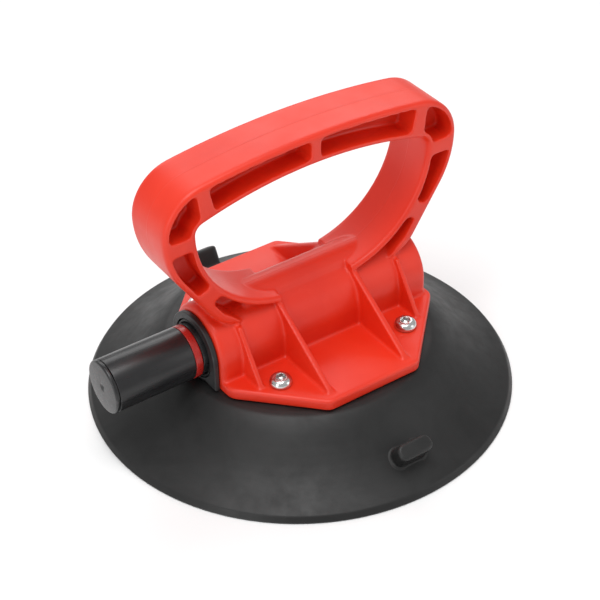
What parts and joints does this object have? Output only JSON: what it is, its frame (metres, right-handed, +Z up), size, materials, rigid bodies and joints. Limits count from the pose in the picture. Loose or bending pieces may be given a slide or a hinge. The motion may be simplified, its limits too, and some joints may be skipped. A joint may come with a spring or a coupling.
{
  "type": "hand vacuum suction cup",
  "caption": "Hand vacuum lifter: a round rubber suction pad under a moulded loop handle, with a spring-return push plunger that pumps the air out.",
  "frame": {"origin": "centre of the pad's sealing ring, on the surface that the pad stands on", "axes": "+Z up through the handle, X along the pump with the plunger's button toward -X, Y across the hand loop"},
  "size_m": [0.2023, 0.1996, 0.1385],
  "materials": {
    "handle_plastic": "satin moulded",
    "pad_rubber": "matte moulded",
    "seal_rubber": "matte",
    "plunger_plastic": "satin",
    "band_plastic": "gloss",
    "stainless": "polished stainless",
    "plated_steel": "zinc plated",
    "brass": "drawn",
    "valve_plastic": "satin",
    "filter_felt": "felt"
  },
  "bodies": {
    "base": {"handle_body": "handle_plastic", "suction_pad": "pad_rubber", "backing_plate": "plated_steel", "flange_screw_1": "stainless", "flange_screw_2": "stainless", "flange_screw_3": "stainless", "flange_screw_4": "stainless", "weld_nut_1": "plated_steel", "weld_nut_2": "plated_steel", "weld_nut_3": "plated_steel", "weld_nut_4": "plated_steel", "end_plate": "plunger_plastic", "wiper_seal": "seal_rubber", "pump_cylinder": "brass", "valve_block": "valve_plastic", "spring_seat": "plated_steel", "block_o_ring": "seal_rubber", "intake_tube": "brass", "intake_gasket": "seal_rubber", "filter_disc": "filter_felt", "filter_ring": "plunger_plastic", "return_spring": "stainless"},
    "plunger": {"plunger_tube": "plunger_plastic", "plunger_cap": "plunger_plastic", "indicator_band": "band_plastic", "piston_head": "plunger_plastic", "piston_seal": "seal_rubber", "piston_washer": "plated_steel", "piston_screw": "plated_steel"},
    "intake_valve": {"intake_valve_disc": "seal_rubber"}
  },
  "joints": [
    {"name": "plunger_slide", "type": "slide", "parent": "base", "child": "plunger", "axis": [1, 0, 0], "range_m": [0, 0.04], "stiffness_N_per_m": 250, "springref_m": -0.02, "deforming": ["return_spring"]},
    {"name": "intake_valve_lift", "type": "slide", "parent": "base", "child": "intake_valve", "axis": [-1, 0, 0], "range_m": [0, 0.0008]}
  ]
}
